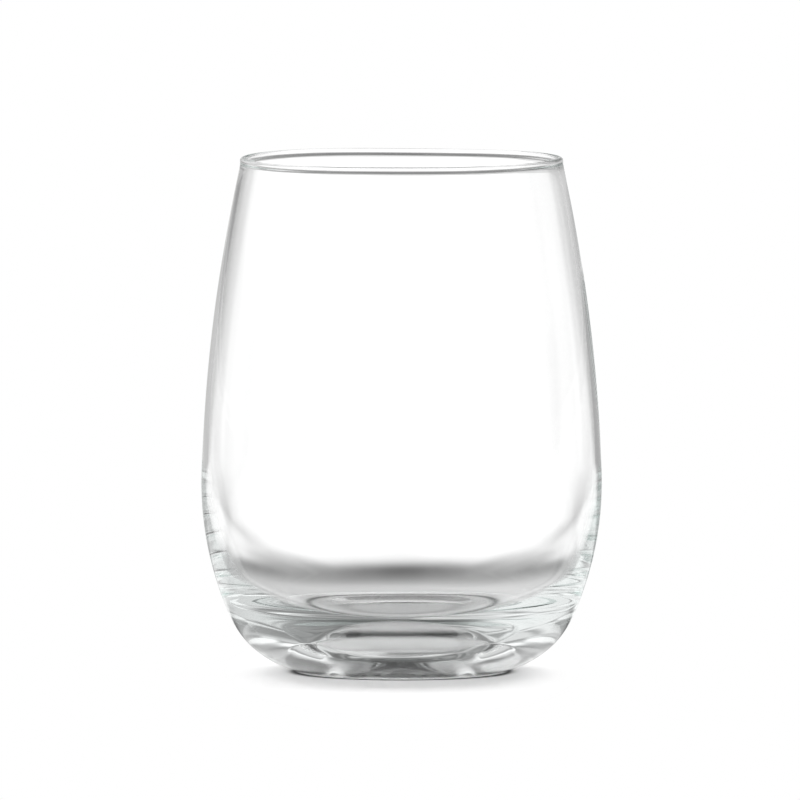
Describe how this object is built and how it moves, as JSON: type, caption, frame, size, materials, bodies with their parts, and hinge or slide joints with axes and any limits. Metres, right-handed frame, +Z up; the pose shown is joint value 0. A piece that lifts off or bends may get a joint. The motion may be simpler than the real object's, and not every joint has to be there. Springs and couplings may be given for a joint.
{
  "type": "tumbler",
  "caption": "Stemless clear glass tumbler with a barrel bowl, rounded lip, thick rounded base and hollowed foot, for holding a drink.",
  "frame": {"origin": "centre of the standing ring, on the table", "axes": "+Z up along the axis of the bowl, towards the mouth"},
  "size_m": [0.086, 0.086, 0.1104],
  "materials": {
    "clear_glass": "fire-polished, clear"
  },
  "bodies": {
    "root": {"glass_body": "clear_glass"}
  },
  "joints": []
}
